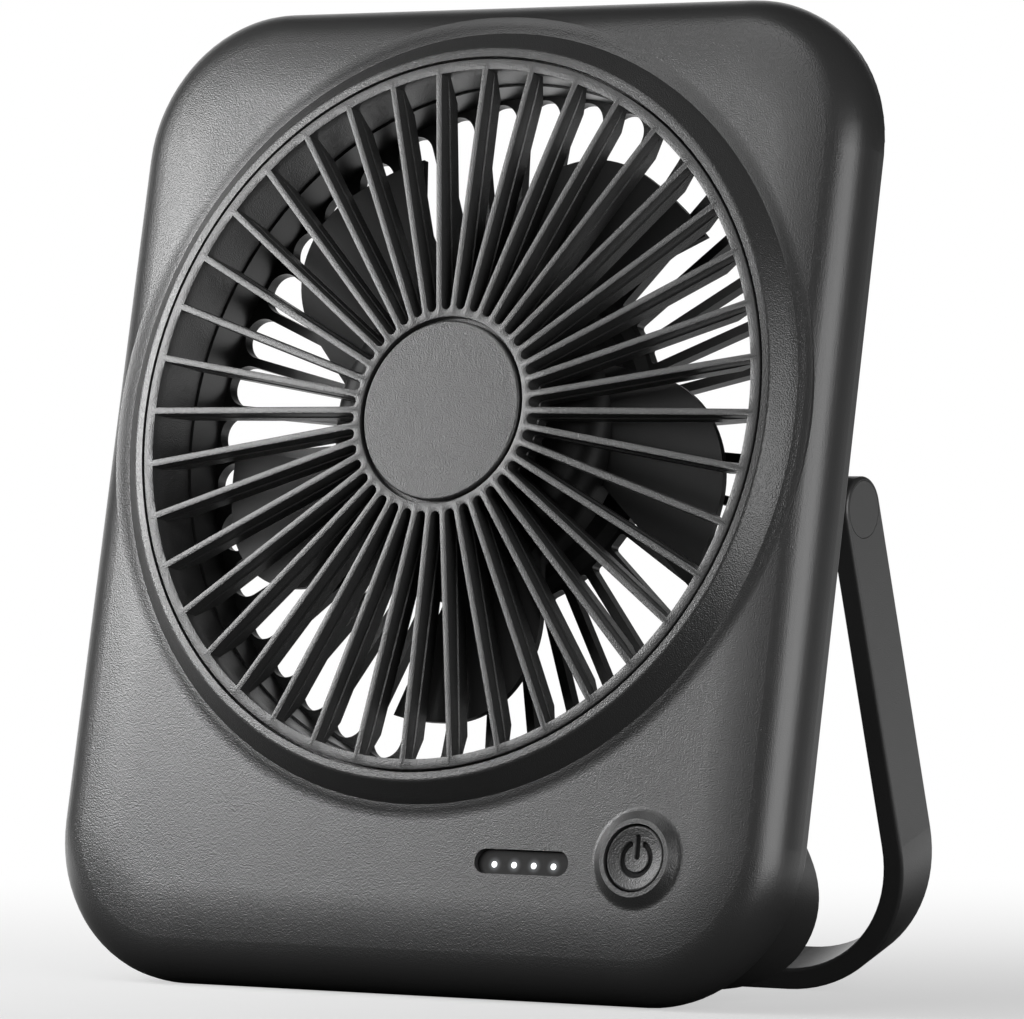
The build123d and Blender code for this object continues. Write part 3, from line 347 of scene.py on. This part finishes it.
# satin: darkest and palest grey, roughness, size and depth of the grain, shine
# gloss: grey, roughness, shine; metal: two colours, roughness, size of the grain
finishes = {
    "shell": shellFinish(),
    "grille": satinFinish("charcoalGrille", 0.020, 0.028, 0.36, 0.22 * mm, 0.065 * mm),
    "disc": satinFinish("hubDisc", 0.020, 0.028, 0.42, 0.22 * mm, 0.085 * mm),
    "blades": glossFinish("glossBlack", 0.008, 0.40, 0.18),
    "button": buttonFinish(),
    "window": windowFinish(),
    "lamp": lampFinish(),
    "steel": metalFinish("brightSteel", grey(0.42), grey(0.56), 0.28, 0.5 * mm),
    "magnet": satinFinish("ferrite", 0.030, 0.045, 0.62, 0.4 * mm, 0.05 * mm),
    "lamination": metalFinish("coreSteel", grey(0.22), grey(0.34), 0.40, 0.35 * mm),
    "copper": metalFinish("enamelledCopper", (0.58, 0.22, 0.09, 1), (0.80, 0.40, 0.20, 1), 0.24, 0.3 * mm),
    "brass": metalFinish("turnedBrass", (0.62, 0.45, 0.18, 1), (0.80, 0.64, 0.34, 1), 0.22, 0.4 * mm),
    "board": boardFinish(),
    "switch": satinFinish("switchBody", 0.022, 0.034, 0.45, 0.3 * mm, 0.03 * mm),
    "plunger": satinFinish("nylonPlunger", 0.48, 0.56, 0.42, 0.3 * mm, 0.03 * mm),
    "port": metalFinish("platedShell", grey(0.58), grey(0.72), 0.20, 0.5 * mm),
    "cell": glossFinish("cellSleeve", 0.05, 0.25),
    "nickel": metalFinish("nickelStrip", grey(0.55, 0.03), grey(0.68, 0.03), 0.28, 0.4 * mm),
    "washer": satinFinish("frictionDisc", 0.018, 0.028, 0.65, 0.25 * mm, 0.03 * mm),
}
smoothShell = satinFinish("smoothShell", 0.022, 0.030, 0.38, 0.24 * mm, 0.02 * mm)  # a finer grain than the face
ownFinish = {"rear_housing": smoothShell, "stand": smoothShell, "pivot_caps": smoothShell,
             "rear_grille": satinFinish("rearGrille", 0.014, 0.022, 0.44, 0.24 * mm, 0.03 * mm, 0.3)}
for part in frame["record"]["subparts"]:  # every CAD node gets the finish of its slot, or its own
    held = nodes[part["node"]].data.materials
    held.clear()
    held.append(ownFinish.get(part["node"], finishes[part["material_slot"]]))
print("finishes set,", len(finishes), "slots")

meshLook = {"treeWeld": 0.001 * mm, "treeSharp": 32, "turnWeld": 0.0005 * mm, "turnSharp": 40}  # angles in degrees


def cleanMesh(mesh, weld, sharp):  # welded, facing outwards, and smooth but for edges sharper than the angle
    form = bmesh.new()
    form.from_mesh(mesh)
    bmesh.ops.remove_doubles(form, verts=form.verts, dist=weld)
    bmesh.ops.recalc_face_normals(form, faces=form.faces)
    form.to_mesh(mesh)
    form.free()
    mesh.shade_smooth()
    mesh.set_sharp_from_angle(angle=radians(sharp))


def placeNew(name, data):
    made = bpy.data.objects.new(name, data)
    bpy.context.scene.collection.objects.link(made)
    return made


def newPiece(name, points, faces):
    mesh = bpy.data.meshes.new(name)
    mesh.from_pydata(points, [], faces)
    return placeNew(name, mesh)


def turnedForm(name, profile, segments, lift):  # a profile turned round the z axis; lift gives a height left open
    points, faces = [], []
    for radius, height in profile:
        for step in range(segments):
            angle = 2 * pi * step / segments
            x, y = radius * cos(angle), radius * sin(angle)
            raised = lift(x, y) if height is None else height
            points.append((x * mm, y * mm, raised * mm))
    for row in range(len(profile) - 1):
        for step in range(segments):
            after = (step + 1) % segments
            faces.append((row * segments + step, row * segments + after,
                          (row + 1) * segments + after, (row + 1) * segments + step))
    piece = newPiece(name, points, faces)
    cleanMesh(piece.data, meshLook["turnWeld"], meshLook["turnSharp"])
    return piece


def newTree(name, *sockets):  # a geometry tree that takes a mesh, these inputs and a material
    tree = bpy.data.node_groups.new(name, "GeometryNodeTree")
    for label, kind in (("Geometry", "Geometry"), *sockets, ("Finish", "Material")):
        tree.interface.new_socket(label, in_out="INPUT", socket_type="NodeSocket" + kind)
    tree.interface.new_socket("Geometry", in_out="OUTPUT", socket_type="NodeSocketGeometry")
    return Wire(tree)


def realized(copies):
    return copies.node("GeometryNodeRealizeInstances", None, {"Geometry": copies})


def endTree(wire, geometry):  # one material on the result
    dressed = wire.node("GeometryNodeSetMaterial", None, {"Geometry": geometry, "Material": wire.given("Finish")})
    wire.tree.links.new(dressed.socket, wire.tree.nodes.new("NodeGroupOutput").inputs["Geometry"])
    return wire.tree


def turnTree(name):  # copies of a mesh round the z axis, welded
    wire = newTree(name, ("Count", "Int"), ("Weld", "Float"))
    count = wire.given("Count")
    turn = wire.node("GeometryNodeInputIndex") * (2 * pi) / count
    turned = wire.node("FunctionNodeEulerToRotation", None, {0: wire.node("ShaderNodeCombineXYZ", None, {"Z": turn})})
    copies = wire.node("GeometryNodeInstanceOnPoints", None,
                       {"Points": wire.node("GeometryNodePoints", None, {"Count": count}),
                        "Instance": wire.given("Geometry"), "Rotation": turned})
    joined = wire.node("GeometryNodeMergeByDistance", None,
                       {"Geometry": realized(copies), "Distance": wire.given("Weld")})
    return endTree(wire, joined)


def spotTree(name):  # copies of an object on the vertices of a mesh
    wire = newTree(name, ("Copied", "Object"), ("Size", "Float"))
    shape = wire.node("GeometryNodeObjectInfo", None, {"Object": wire.given("Copied")}, "Geometry")
    copies = wire.node("GeometryNodeInstanceOnPoints", None,
                       {"Points": wire.given("Geometry"), "Instance": shape, "Scale": wire.given("Size")})
    return endTree(wire, realized(copies))


def runTree(piece, tree, values):  # set the tree's inputs by identifier, then keep the result as a plain mesh
    modifier = piece.modifiers.new(tree.name, "NODES")
    modifier.node_group = tree
    for item in tree.interface.items_tree:
        if item.name in values:
            modifier[item.identifier] = values[item.name]
    bpy.context.view_layer.update()
    made = bpy.data.meshes.new_from_object(piece.evaluated_get(bpy.context.evaluated_depsgraph_get()))
    piece.modifiers.clear()
    piece.data = made
    cleanMesh(made, meshLook["treeWeld"], meshLook["treeSharp"])


# front grille: one slot of the ring with half a fin at each side, repeated round the axis; sizes in millimetres
grille = {"count": 40, "finWidth": 1.2, "footStep": 0.2, "shoulder": 2.2, "finDepth": 4.9, "finEnd": 1.2,
          "hubRadius": 18.4, "hubRise": 1.2, "discSeat": 17.0, "seatDepth": 1.5, "hubPlate": 2.0,
          "plateRadius": 16.3, "ringInner": 62.7, "ringOuter": 64.6, "ringDepth": 3.1, "edge": 0.12, "edgeMiddle": 0.3,
          "edgeSteps": 2, "outerSteps": 4, "sideSteps": 10, "endSteps": 8, "weld": 0.002}


def slotOutline():  # zone, point, direction into the material and place along the sector's edge, round one slot
    half = pi / grille["count"]
    bar = grille["finWidth"] / 2
    ring, hub = grille["ringInner"], grille["hubRadius"]
    corner = half - asin(bar / ring)
    rounding = (hub * sin(half) - bar) / (1 - sin(half))
    centre = hub + rounding
    far, near = sqrt(ring * ring - bar * bar), centre * cos(half)
    reaches = [far + (near - far) * step / grille["sideSteps"] for step in range(1, grille["sideSteps"])]

    def alongFin(reach, side):
        return ("side", (reach * cos(half) + bar * sin(half), side * (reach * sin(half) - bar * cos(half))),
                (-sin(half), side * cos(half)), side * reach)

    outline = []
    steps = grille["outerSteps"]
    for step in range(steps + 1):
        share = 2 * step / steps - 1
        angle = share * corner
        lean = (cos(angle), sin(angle))
        if step in (0, steps):  # the sharp outer corners take the mean of the two directions
            lean = (cos(angle) - sin(half), sin(angle) + share * cos(half))
        outline.append(("ring", (ring * cos(angle), ring * sin(angle)), lean, share * half))
    outline += [alongFin(reach, 1) for reach in reaches]
    steps = grille["endSteps"]
    for step in range(steps + 1):
        share = 1 - 2 * step / steps
        angle = pi - share * (pi / 2 - half)
        lean = (cos(angle), sin(angle))
        outline.append(("hub", (centre + rounding * lean[0], rounding * lean[1]), lean, share * half))
    outline += [alongFin(reach, -1) for reach in reversed(reaches)]
    return outline, half


def grilleSector():  # walls of one slot, the faces round it, and the edges of the ring and the hub
    outline, half = slotOutline()
    edge, ring, hub, rise = grille["edge"], grille["ringInner"], grille["hubRadius"], grille["hubRise"]
    outside, seat, plate = grille["ringOuter"], grille["discSeat"], grille["plateRadius"]
    finDepth, ringDepth, finEnd = grille["finDepth"], grille["ringDepth"], grille["finEnd"]
    shoulder, middle = grille["shoulder"], edge * grille["edgeMiddle"]
    floor = rise - grille["seatDepth"]
    back = floor - grille["hubPlate"]

    def front(x, y):  # the fins fall from the hub to the ring
        share = min(max((hypot(x, y) - hub) / (ring - hub), 0), 1)
        return rise * (1 - share)

    def polar(radius, angle, height):
        return (radius * cos(angle), radius * sin(angle), height)

    bottomEdge, bottom, foot, neck, frontEdge = [], [], [], [], []
    bevel = [[] for step in range(grille["edgeSteps"] + 1)]
    ringSide, hubSeat, hubBack = [], [], []
    for zone, (x, y), lean, along in outline:
        length = hypot(*lean)
        lean = (lean[0] / length, lean[1] / length)
        step = 0 if zone == "ring" else grille["footStep"]
        if zone == "ring":
            low = -ringDepth
            frontEdge.append(polar(outside - edge, along, 0))
            bottomEdge.append(polar(outside, along, low))
            ringSide.append([polar(outside - edge, along, 0), polar(outside - middle, along, -middle),
                             polar(outside, along, -edge), polar(outside, along, low)])
        elif zone == "side":
            short = max(abs(along) - ring + finEnd, 0) / finEnd
            low = -finDepth + short * (finDepth - ringDepth)
            angle = half if along > 0 else -half
            frontEdge.append(polar(abs(along), angle, front(abs(along), 0)))
            bottomEdge.append(polar(abs(along), angle, low))
        else:
            low = -finDepth
            frontEdge.append(polar(seat + edge, along, rise))
            bottomEdge.append(polar(plate, along, back))
            hubSeat.append([polar(seat + edge, along, rise), polar(seat + middle, along, rise - middle),
                            polar(seat, along, rise - edge), polar(seat, along, floor), (0, 0, floor)])
            hubBack.append([polar(plate, along, back), (0, 0, back)])
        for row, reach, height in ((bottom, step, low), (foot, step, -shoulder - step), (neck, 0, -shoulder)):
            row.append((x - lean[0] * reach, y - lean[1] * reach, height))
        for index, row in enumerate(bevel):
            turn = pi / 2 * index / grille["edgeSteps"]
            row.append((x + lean[0] * edge * (1 - cos(turn)), y + lean[1] * edge * (1 - cos(turn)),
                        front(x, y) - edge * (1 - sin(turn))))
    points, faces = [], []

    def add(row):
        start = len(points)
        points.extend(tuple(value * mm for value in point) for point in row)
        return [start + index for index in range(len(row))]

    loops = [add(row) for row in (bottomEdge, bottom, foot, neck, *bevel, frontEdge)]
    for first, second in zip(loops, loops[1:]):
        for index in range(len(first)):
            after = (index + 1) % len(first)
            faces.append((first[index], first[after], second[after], second[index]))
    for columns in (ringSide, hubSeat, hubBack):
        strip = [add(row) for row in zip(*columns)]
        for first, second in zip(strip, strip[1:]):
            for index in range(len(first) - 1):
                faces.append((first[index], first[index + 1], second[index + 1], second[index]))
    return points, faces


def makeGrille():
    piece = newPiece("frontGrilleFins", *grilleSector())
    runTree(piece, turnTree("finRing"),
            {"Count": grille["count"], "Weld": grille["weld"] * mm, "Finish": finishes["grille"]})
    halfPitch = Matrix.Rotation(pi / grille["count"], 4, "Z")  # a fin, not a slot, lies across the face
    piece.data.transform(facePlace @ halfPitch)
    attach(piece, "housing")
    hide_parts("front_grille")
    print("front grille made,", len(piece.data.polygons), "faces")


makeGrille()

# push button: dished cap with the power sign engraved; sizes in millimetres on the face's own axes
button = {"middle": (48.6, -78.3), "radius": 5.8, "rim": -2.6, "dish": 0.7, "round": 0.45,
          "roundTurns": (0.4, 0.8, 1.2, pi / 2), "flange": 7.0, "flangeFront": -5.6, "flangeBack": -6.4,
          "arcRadius": 2.85, "stroke": 0.92, "gap": 30.0, "bar": (0.35, 3.75), "engraved": 0.34, "soft": 0.18,
          "below": 0.1, "rings": 70, "segments": 256}


def signDepth(x, y):  # 1 in the engraved line of the sign, 0 outside
    ring, gap = button["arcRadius"], radians(button["gap"])
    if abs(degrees(atan2(x, y))) >= button["gap"]:
        arc = abs(hypot(x, y) - ring)
    else:
        arc = min(hypot(x - side * ring * sin(gap), y - ring * cos(gap)) for side in (1, -1))
    low, high = button["bar"]
    bar = hypot(x, y - min(max(y, low), high))
    inside = button["stroke"] / 2 + button["soft"] / 2 - min(arc, bar)
    share = min(max(inside / button["soft"], 0), 1)
    return share * share * (3 - 2 * share)


def makeButton():
    radius, rim, dish, edge = button["radius"], button["rim"], button["dish"], button["round"]
    inner = radius - edge
    bowl = (inner ** 2 + dish * dish) / (2 * dish)

    def surface(x, y):
        away = min(hypot(x, y), inner)
        return rim - dish + bowl - sqrt(bowl * bowl - away * away) - button["engraved"] * signDepth(x, y)

    rings = button["rings"]
    profile = [(inner * step / rings, None) for step in range(rings + 1)]
    profile += [(inner + edge * sin(turn), rim - edge + edge * cos(turn)) for turn in button["roundTurns"]]
    profile += [(radius, button["flangeFront"]), (button["flange"], button["flangeFront"]),
                (button["flange"], button["flangeBack"]), (0, button["flangeBack"])]
    piece = turnedForm("powerButtonCap", profile, button["segments"], surface)
    sunk = piece.data.attributes.new("engraving", "FLOAT", "POINT")
    deepest = (rim - dish - button["engraved"] - button["below"]) * mm
    for index, vertex in enumerate(piece.data.vertices):
        sunk.data[index].value = signDepth(vertex.co.x / mm, vertex.co.y / mm) if vertex.co.z > deepest else 0.0
    piece.data.materials.append(finishes["button"])
    piece.data.transform(facePlace @ Matrix.Translation(Vector((*button["middle"], 0)) * mm))
    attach(piece, "button")
    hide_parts("power_button")
    print("button cap made,", len(piece.data.polygons), "faces")


makeButton()

# housing screws: pan heads with a cross recess at the four posts; sizes in millimetres
screws = {"head": 2.3, "height": 1.6, "brim": 1.0, "topShare": 0.94, "dome": 0.45, "cross": 1.35, "slot": 0.52,
          "depth": 0.7, "bite": 0.12, "shank": 1.2, "tipRadius": 0.3, "tipLength": 0.8, "rings": 18, "segments": 64}


def screwSpots():  # the middle of each screw's head seat and the length of the shank, from the solids
    points = [point / mm for point in facePoints("housing_screws")]
    back, front = span(point.z for point in points)
    spots = []
    for side in (1, -1):
        for end in (1, -1):
            group = [point for point in points if point.x * side > 0 and point.y * end > 0]
            left, right = span(point.x for point in group)
            low, high = span(point.y for point in group)
            spots.append(((left + right) / 2, (low + high) / 2))
    return spots, back + screws["height"], front - back - screws["height"]


def makeScrews():
    spots, seat, length = screwSpots()
    head, shank, rings = screws["head"], screws["shank"], screws["rings"]

    def surface(x, y):  # domed head, seen from the back, with the cross pressed in
        raised = screws["height"] - screws["dome"] * (hypot(x, y) / head) ** 2
        inside = min(screws["cross"] - max(abs(x), abs(y)), screws["slot"] / 2 - min(abs(x), abs(y)))
        return raised - screws["depth"] * min(max(inside / screws["bite"], 0), 1)

    profile = [(head * screws["topShare"] * step / rings, None) for step in range(rings + 1)]
    profile += [(head, screws["brim"]), (head, 0), (shank, 0), (shank, screws["tipLength"] - length),
                (screws["tipRadius"], -length), (0, -length)]
    pattern = turnedForm("screwPattern", profile, screws["segments"], surface)
    pattern.data.transform(Matrix.Rotation(pi, 4, "X"))
    piece = newPiece("housingScrewSet", [(x * mm, y * mm, seat * mm) for x, y in spots], [])
    runTree(piece, spotTree("screwRow"), {"Copied": pattern, "Size": 1.0, "Finish": finishes["steel"]})
    piece.data.transform(facePlace)
    bpy.data.objects.remove(pattern)
    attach(piece, "housing")
    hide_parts("housing_screws")
    print("screws made,", len(piece.data.polygons), "faces")


makeScrews()


def towards(azimuth, elevation):  # from the object to something at these angles
    turn, rise = radians(azimuth), radians(elevation)
    return Vector((sin(turn) * cos(rise), -cos(turn) * cos(rise), sin(rise)))


# camera, from the outline of the ring and the body in the photograph
view = {"lens": 257.98, "azimuth": 32.55, "elevation": 0.98, "distance": 1303.6 * mm, "right": 12.06 * mm,
        "down": 17.45 * mm, "clip": (0.05, 50)}
viewBack = towards(view["azimuth"], view["elevation"])
viewRight = Vector((cos(radians(view["azimuth"])), sin(radians(view["azimuth"])), 0))


def placeCamera():
    top = viewBack.cross(viewRight)
    lens = bpy.data.cameras.new("photoLens")
    lens.lens = view["lens"]
    lens.clip_start, lens.clip_end = view["clip"]
    camera = placeNew("photoCamera", lens)
    spot = fanCentre + viewRight * view["right"] - top * view["down"] + viewBack * view["distance"]
    camera.matrix_world = Matrix.Translation(spot) @ Matrix((viewRight, top, viewBack)).transposed().to_4x4()
    bpy.context.scene.camera = camera


placeCamera()

# soft boxes: a small one close to the left of the face, a far wide one behind it, one at the left edge, one above
# and a panel at the right; each aims at a point on the face's axes, in millimetres
lights = {"key": {"azimuth": -35, "elevation": 20, "distance": 0.19, "size": (0.12, 0.15), "watts": 0.80,
                  "aim": (-124, 6)},
          "panel": {"azimuth": 64, "elevation": 6, "distance": 0.55, "size": (0.40, 0.50), "watts": 3.2,
                    "aim": (40, -20)},
          "wide": {"azimuth": -35, "elevation": 20, "distance": 1.00, "size": (0.62, 0.62), "watts": 3.5,
                   "aim": (60, 0)},
          "side": {"azimuth": -72, "elevation": 24, "distance": 0.45, "size": (0.22, 0.28), "watts": 0.75,
                   "aim": (-77, -10)},
          "top": {"azimuth": -30, "elevation": 58, "distance": 0.60, "size": (0.45, 0.30), "watts": 1.3,
                  "aim": (10, 75)}}


def placeLights():
    for name, lamp in lights.items():
        data = bpy.data.lights.new(name + "Box", "AREA")
        data.shape = "RECTANGLE"
        data.size, data.size_y = lamp["size"]
        data.energy = lamp["watts"]
        aim = fanCentre + (across * lamp["aim"][0] + upward * lamp["aim"][1]) * mm
        back = towards(lamp["azimuth"], lamp["elevation"])
        box = placeNew(name + "Box", data)
        box.location = aim + back * lamp["distance"]
        box.rotation_euler = back.to_track_quat("Z", "Y").to_euler()


placeLights()

# dim room with a white backdrop behind the object, which the camera and reflections see; distances in metres
room = {"level": 0.085, "gloss": 0.02, "backdrop": 1.3, "cone": (0.75, 1.0)}
# ground near: the grey of the painted shade on the floor close to the object, which fades to white further off
ground = {"radius": 6.0, "segments": 96, "pale": 0.90, "bounce": 0.02, "near": 0.62, "glowShare": 0.72,
          "fade": (-0.16, 0.30), "rim": (0.30, 0.95), "behind": (0.0, 0.2), "beside": (0.09, 0.20)}


def lightPaths(wire):  # rays that see the white background as it is, and rays from glossy surfaces
    camera, glossy, through = [wire.node("ShaderNodeLightPath", output="Is %s Ray" % name)
                               for name in ("Camera", "Glossy", "Transmission")]
    return camera.atLeast(through), glossy


def placeRoom():
    world = bpy.data.worlds.new("studio")
    bpy.context.scene.world = world
    world.use_nodes = True
    tree = world.node_tree
    wire = Wire(tree)
    seen, glossy = lightPaths(wire)
    facing = wire.node("ShaderNodeTexCoord", output="Generated").dot(-viewBack).fade(*room["cone"])
    mirrored = facing.tone(grey(room["gloss"]), grey(room["backdrop"]))
    lit = glossy.tone(grey(room["level"]), mirrored)
    tree.links.new(seen.tone(lit, grey(1.0)).socket, tree.nodes["Background"].inputs["Color"])


def groundFinish():  # pale paper to the camera with painted shade (a grey glow) close to the object, white further off, and dark to the object apart from the backdrop
    material = bpy.data.materials.new("paleFloor")
    material.use_nodes = True
    tree = material.node_tree
    tree.nodes.clear()
    wire = Wire(tree)
    seen, glossy = lightPaths(wire)
    place = wire.node("ShaderNodeTexCoord", output="Object")
    depth = place.dot(-viewBack)
    far = depth.fade(*ground["fade"]).atLeast(place.away().fade(*ground["rim"]))
    behind = depth.fade(*ground["behind"]).atLeast(place.dot(viewRight).fade(*ground["beside"])) * glossy
    paper = wire.node("ShaderNodeBsdfDiffuse", None, {"Color": grey(ground["pale"])})
    # painted shade: the floor the camera sees glows grey near the object and white further off
    glow = wire.node("ShaderNodeEmission", None, {"Color": far.tone(grey(ground["near"]), grey(1.0))})
    bounce = wire.node("ShaderNodeBsdfDiffuse", None, {"Color": grey(ground["bounce"])})
    sheen = wire.node("ShaderNodeEmission", None, {"Color": grey(room["backdrop"])})
    share = far * (1 - ground["glowShare"]) + ground["glowShare"]
    blend = seen.shaders(behind.shaders(bounce, sheen), share.shaders(paper, glow))
    tree.links.new(blend.socket, tree.nodes.new("ShaderNodeOutputMaterial").inputs["Surface"])
    return material


def placeGround():
    mesh = bpy.data.meshes.new("floor")
    form = bmesh.new()
    bmesh.ops.create_circle(form, cap_ends=True, segments=ground["segments"], radius=ground["radius"])
    form.to_mesh(mesh)
    form.free()
    mesh.materials.append(groundFinish())
    floor = placeNew("floor", mesh)


placeRoom()
placeGround()
bpy.context.scene.view_settings.view_transform = "Standard"
print("camera, light and floor placed")
